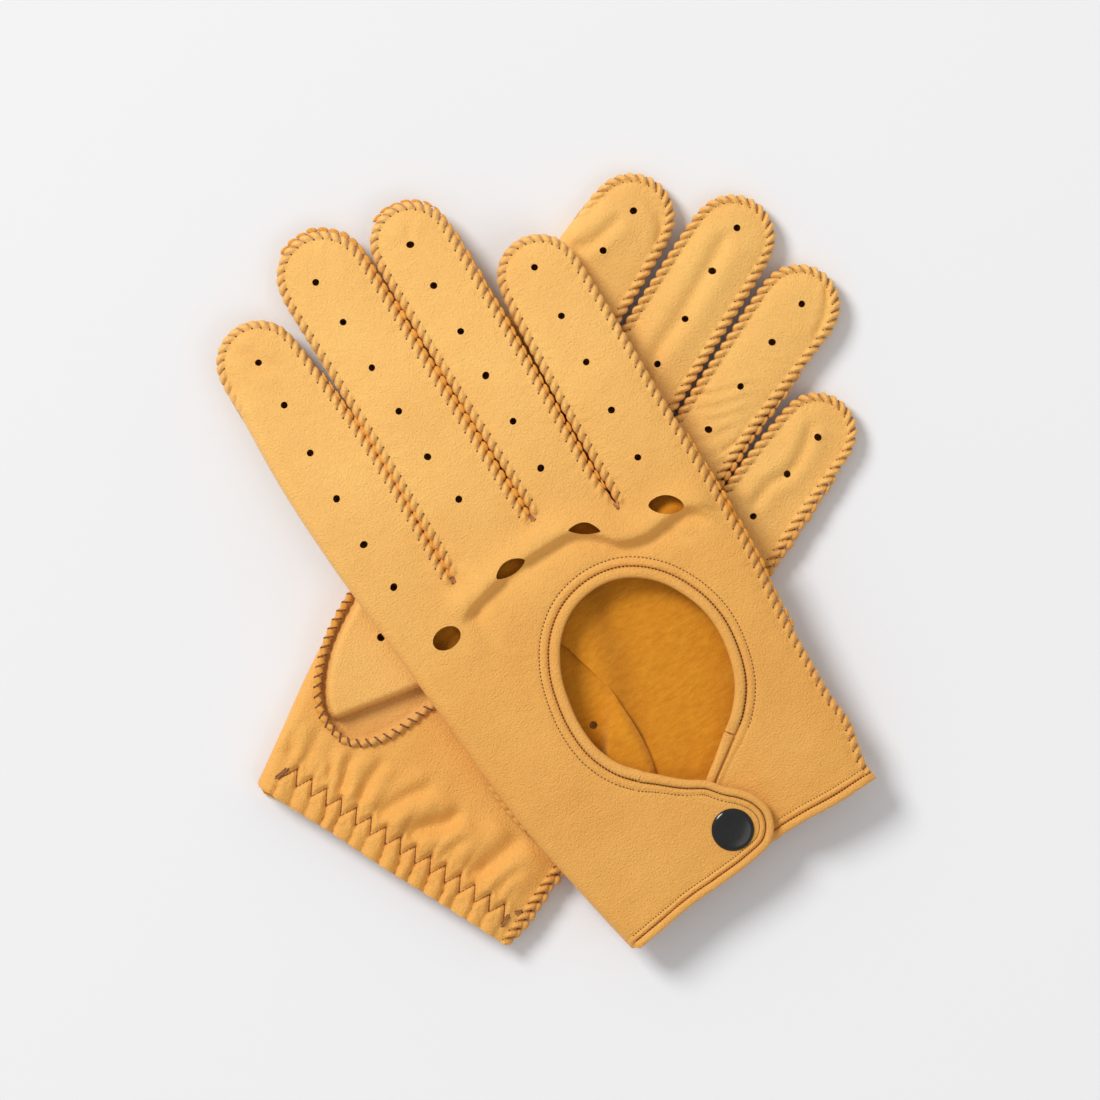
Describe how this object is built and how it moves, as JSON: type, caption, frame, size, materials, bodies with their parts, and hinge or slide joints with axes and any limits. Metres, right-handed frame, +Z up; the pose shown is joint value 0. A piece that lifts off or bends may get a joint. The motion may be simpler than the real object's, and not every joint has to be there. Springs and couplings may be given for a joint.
{
  "type": "pair of leather driving gloves",
  "caption": "Unlined tan leather driving gloves with overcast seams, perforated fingers, knuckle holes, a keyhole back and a snap strap at the wrist, lying crossed.",
  "frame": {"origin": "on the table under the middle of the crossed pair", "axes": "+X to the right and +Y up the table as the pair is seen from above, +Z up from the table"},
  "size_m": [0.1934, 0.2279, 0.0216],
  "materials": {
    "leather": "smooth tan lambskin, fine grain, soft sheen, suede on its flesh side",
    "leather_binding": "folded tan binding strip",
    "thread": "brown waxed seam thread",
    "elastic": "woven cream elastic band",
    "snap_cap": "glossy black domed cap",
    "snap_metal": "dark nickel snap parts"
  },
  "bodies": {
    "left_glove": {"left_back_leaf": "leather", "left_palm_leaf": "leather", "left_thumb": "leather", "left_fourchette_index_middle": "leather", "left_fourchette_middle_ring": "leather", "left_fourchette_ring_little": "leather", "left_keyhole_binding": "leather_binding", "left_tongue_binding": "leather_binding", "left_wrist_binding": "leather_binding", "left_elastic": "elastic", "left_snap_stud": "snap_metal", "left_snap_post": "snap_metal", "left_finger_thread": "thread", "left_side_thread": "thread", "left_thumb_thread": "thread", "left_edge_thread": "thread", "left_elastic_thread": "thread"},
    "left_strap": {"left_strap": "leather", "left_strap_binding": "leather_binding", "left_snap_cap": "snap_cap", "left_snap_socket": "snap_metal", "left_strap_thread": "thread"},
    "right_glove": {"right_back_leaf": "leather", "right_palm_leaf": "leather", "right_thumb": "leather", "right_fourchette_index_middle": "leather", "right_fourchette_middle_ring": "leather", "right_fourchette_ring_little": "leather", "right_keyhole_binding": "leather_binding", "right_tongue_binding": "leather_binding", "right_wrist_binding": "leather_binding", "right_elastic": "elastic", "right_snap_stud": "snap_metal", "right_snap_post": "snap_metal", "right_finger_thread": "thread", "right_side_thread": "thread", "right_thumb_thread": "thread", "right_edge_thread": "thread", "right_elastic_thread": "thread"},
    "right_strap": {"right_strap": "leather", "right_strap_binding": "leather_binding", "right_snap_cap": "snap_cap", "right_snap_socket": "snap_metal", "right_strap_thread": "thread"}
  },
  "joints": [
    {"name": "right_lift", "type": "slide", "parent": "left_glove", "child": "right_glove", "axis": [0, 0, 1], "range_m": [0, 0.06]},
    {"name": "right_strap_hinge", "type": "hinge", "parent": "right_glove", "child": "right_strap", "pos_m": [0.04268, -0.07783, 0.01711], "axis": [0.5474, -0.8301, -0.1065], "range_deg": [0, 120]},
    {"name": "left_strap_hinge", "type": "hinge", "parent": "left_glove", "child": "left_strap", "pos_m": [-0.04494, -0.0676, -0.0001], "axis": [0.5446, 0.8387, 0], "range_deg": [0, 120]}
  ]
}
